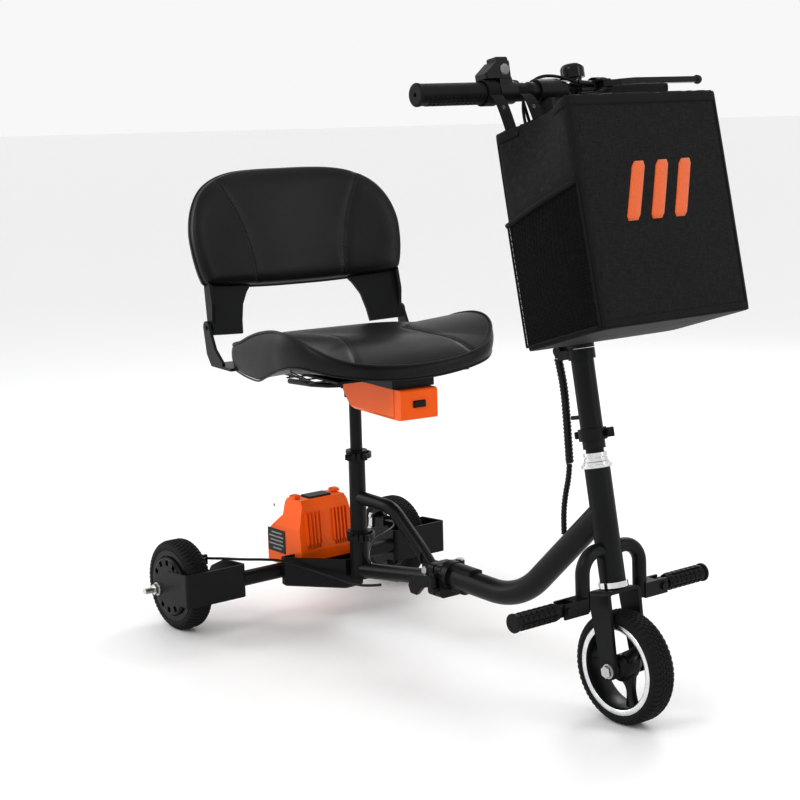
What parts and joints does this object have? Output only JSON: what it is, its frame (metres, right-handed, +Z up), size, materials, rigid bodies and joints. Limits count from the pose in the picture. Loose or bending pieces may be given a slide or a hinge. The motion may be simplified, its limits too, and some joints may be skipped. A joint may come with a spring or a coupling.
{
  "type": "mobility scooter",
  "caption": "Folding travel scooter with a swivelling padded seat, hub-driven rear wheel, steered front wheel on a folding stem with bag, and a slide-out battery.",
  "frame": {"origin": "on the floor under the middle of the machine's length", "axes": "+X forward, +Y to the rider's left, +Z up"},
  "size_m": [1.091, 0.65, 1.0115],
  "materials": {
    "black_paint": "satin powder coat",
    "steel": "zinc plated",
    "chrome": "polished",
    "alloy": "machined and painted",
    "alloy_black": "black cast, machined rim edge",
    "motor_black": "dark cast",
    "tyre": "solid rubber",
    "rubber": "moulded grip",
    "black_plastic": "fine texture",
    "orange_plastic": "moulded, slight gloss",
    "grey_plastic": "fine texture",
    "cable": "glossy sheath",
    "fabric": "woven nylon",
    "vinyl": "grained vinyl"
  },
  "bodies": {
    "rear_frame": {"base_tube": "black_paint", "seat_tube": "black_paint", "cross_tube": "black_paint", "bracket_right": "black_paint", "bracket_left": "black_paint", "rear_axles": "steel", "frame_fasteners": "steel", "tray": "black_paint", "controller_housing": "orange_plastic", "housing_panel": "grey_plastic", "controller_module": "grey_plastic", "clamp_rings": "black_paint", "brake_plates": "steel", "rear_cables": "cable"},
    "base_clamp": {"base_clamp_lever": "black_paint"},
    "seat_clamp": {"seat_clamp_lever": "black_paint"},
    "housing_latch_right": {"housing_latch_right": "orange_plastic"},
    "housing_latch_left": {"housing_latch_left": "orange_plastic"},
    "brake_arm_right": {"brake_arm_right": "steel"},
    "brake_arm_left": {"brake_arm_left": "steel"},
    "wheel_rear_right": {"tyre_rear_right": "tyre", "hub_motor": "motor_black"},
    "wheel_rear_left": {"tyre_rear_left": "tyre", "rim_rear_left": "alloy_black"},
    "front_frame": {"main_tube": "black_paint", "peg_tubes": "black_paint", "headset_cups": "chrome"},
    "frame_latch": {"frame_latch": "black_paint"},
    "footpeg_right": {"footpeg_right": "rubber"},
    "footpeg_left": {"footpeg_left": "rubber"},
    "steering": {"fork": "black_paint", "headset_nuts": "chrome", "front_axle": "steel", "harness_lower": "cable"},
    "wheel_front": {"tyre_front": "tyre", "rim_front": "alloy_black"},
    "stem_lower": {"stem_tube": "black_paint", "harness_upper": "cable"},
    "stem_clamp": {"stem_clamp_lever": "black_paint"},
    "stem_upper": {"stem_upper": "black_paint", "handlebar": "black_paint", "grip_left": "rubber", "control_pod": "black_plastic", "brake_perch": "black_paint", "bell": "black_plastic", "bag": "fabric", "control_cables": "cable"},
    "throttle": {"throttle_grip": "rubber"},
    "horn_button": {"horn_button": "black_plastic"},
    "brake_lever": {"brake_lever": "black_paint"},
    "bell_lever": {"bell_lever": "black_plastic"},
    "seat_post": {"seat_post": "alloy"},
    "seat": {"seat_pan": "black_paint", "seat_cushion": "vinyl", "battery_dock": "grey_plastic"},
    "swivel_lever": {"swivel_lever": "black_paint"},
    "battery": {"battery": "orange_plastic"},
    "battery_latch": {"battery_latch": "black_plastic"},
    "backrest": {"backrest_pad": "vinyl", "backrest_brackets": "black_paint"}
  },
  "joints": [
    {"name": "frame_fold", "type": "hinge", "parent": "rear_frame", "child": "front_frame", "pos_m": [-0.00047, 0.036, 0.139], "axis": [0, 0, 1], "range_deg": [0, 110]},
    {"name": "frame_latch_turn", "type": "hinge", "parent": "front_frame", "child": "frame_latch", "pos_m": [0.00753, -0.031, 0.14], "axis": [0, 0, 1], "range_deg": [0, 120]},
    {"name": "footpeg_fold_right", "type": "hinge", "parent": "front_frame", "child": "footpeg_right", "pos_m": [0.40353, -0.102, 0.193], "axis": [-1, 0, 0], "range_deg": [0, 85]},
    {"name": "footpeg_fold_left", "type": "hinge", "parent": "front_frame", "child": "footpeg_left", "pos_m": [0.40353, 0.102, 0.193], "axis": [1, 0, 0], "range_deg": [0, 85]},
    {"name": "steer", "type": "hinge", "parent": "front_frame", "child": "steering", "pos_m": [0.43053, 0, 0.088], "axis": [-0.184, 0, 0.9829], "range_deg": [-45, 45]},
    {"name": "front_wheel_spin", "type": "hinge", "parent": "steering", "child": "wheel_front", "pos_m": [0.43053, 0, 0.088], "axis": [0, 1, 0], "continuous": true},
    {"name": "rear_wheel_right_spin", "type": "hinge", "parent": "rear_frame", "child": "wheel_rear_right", "pos_m": [-0.46247, -0.249, 0.083], "axis": [0, 1, 0], "continuous": true},
    {"name": "rear_wheel_left_spin", "type": "hinge", "parent": "rear_frame", "child": "wheel_rear_left", "pos_m": [-0.46247, 0.249, 0.083], "axis": [0, 1, 0], "continuous": true},
    {"name": "stem_height", "type": "slide", "parent": "steering", "child": "stem_lower", "axis": [-0.184, 0, 0.9829], "range_m": [0, 0.05], "deforming": ["harness_lower"]},
    {"name": "stem_clamp_open", "type": "hinge", "parent": "stem_lower", "child": "stem_clamp", "pos_m": [0.37013, 0.02962, 0.44295], "axis": [0.184, 0, -0.9829], "range_deg": [0, 100]},
    {"name": "stem_fold", "type": "hinge", "parent": "stem_lower", "child": "stem_upper", "pos_m": [0.30071, 0, 0.56425], "axis": [0, 1, 0], "range_deg": [-79, 0], "deforming": ["control_cables"]},
    {"name": "throttle_twist", "type": "hinge", "parent": "stem_upper", "child": "throttle", "pos_m": [0.26755, -0.18, 0.95888], "axis": [0, -1, 0], "range_deg": [0, 70], "stiffness_Nm_per_rad": 0.3},
    {"name": "horn_press", "type": "slide", "parent": "stem_upper", "child": "horn_button", "axis": [0.9829, 0, 0.184], "range_m": [0, 0.002], "stiffness_N_per_m": 500},
    {"name": "brake_squeeze", "type": "hinge", "parent": "stem_upper", "child": "brake_lever", "pos_m": [0.29999, 0.092, 0.96495], "axis": [-0.184, 0, 0.9829], "range_deg": [0, 9], "stiffness_Nm_per_rad": 3},
    {"name": "bell_ring", "type": "hinge", "parent": "stem_upper", "child": "bell_lever", "pos_m": [0.26424, 0.062, 0.97657], "axis": [-0.184, 0, 0.9829], "range_deg": [0, 35], "stiffness_Nm_per_rad": 0.1},
    {"name": "brake_arm_right_pull", "type": "hinge", "parent": "rear_frame", "child": "brake_arm_right", "pos_m": [-0.48647, -0.209, 0.101], "axis": [0, 1, 0], "range_deg": [0, 20]},
    {"name": "brake_arm_left_pull", "type": "hinge", "parent": "rear_frame", "child": "brake_arm_left", "pos_m": [-0.48647, 0.209, 0.101], "axis": [0, 1, 0], "range_deg": [0, 20]},
    {"name": "base_clamp_open", "type": "hinge", "parent": "rear_frame", "child": "base_clamp", "pos_m": [-0.21266, -0.00489, 0.172], "axis": [0, 0, -1], "range_deg": [0, 100]},
    {"name": "seat_clamp_open", "type": "hinge", "parent": "rear_frame", "child": "seat_clamp", "pos_m": [-0.21463, -0.00335, 0.321], "axis": [0, 0, -1], "range_deg": [0, 100]},
    {"name": "housing_latch_right_flip", "type": "hinge", "parent": "rear_frame", "child": "housing_latch_right", "pos_m": [-0.38347, -0.045, 0.228], "axis": [0, -1, 0], "range_deg": [0, 70]},
    {"name": "housing_latch_left_flip", "type": "hinge", "parent": "rear_frame", "child": "housing_latch_left", "pos_m": [-0.38347, 0.045, 0.228], "axis": [0, -1, 0], "range_deg": [0, 70]},
    {"name": "seat_height", "type": "slide", "parent": "rear_frame", "child": "seat_post", "axis": [0, 0, 1], "range_m": [-0.04, 0.06]},
    {"name": "seat_swivel", "type": "hinge", "parent": "seat_post", "child": "seat", "pos_m": [-0.24247, 0, 0.48], "axis": [0, 0, -1], "range_deg": [-90, 90]},
    {"name": "swivel_lever_lift", "type": "hinge", "parent": "seat", "child": "swivel_lever", "pos_m": [-0.24369, -0.02305, 0.452], "axis": [0.1392, 0.9903, 0], "range_deg": [0, 10], "stiffness_Nm_per_rad": 1.5},
    {"name": "battery_slide", "type": "slide", "parent": "seat", "child": "battery", "axis": [0.9903, -0.1392, 0], "range_m": [0, 0.15]},
    {"name": "battery_latch_press", "type": "slide", "parent": "battery", "child": "battery_latch", "axis": [-0.9903, 0.1392, 0], "range_m": [0, 0.003], "stiffness_N_per_m": 500},
    {"name": "backrest_fold", "type": "hinge", "parent": "seat", "child": "backrest", "pos_m": [-0.41775, 0.02463, 0.552], "axis": [0.1392, 0.9903, 0], "range_deg": [0, 90]}
  ],
  "couplings": [
    {"joint": "brake_arm_right_pull", "follows": "brake_squeeze", "ratio": 2},
    {"joint": "brake_arm_left_pull", "follows": "brake_squeeze", "ratio": 2}
  ]
}
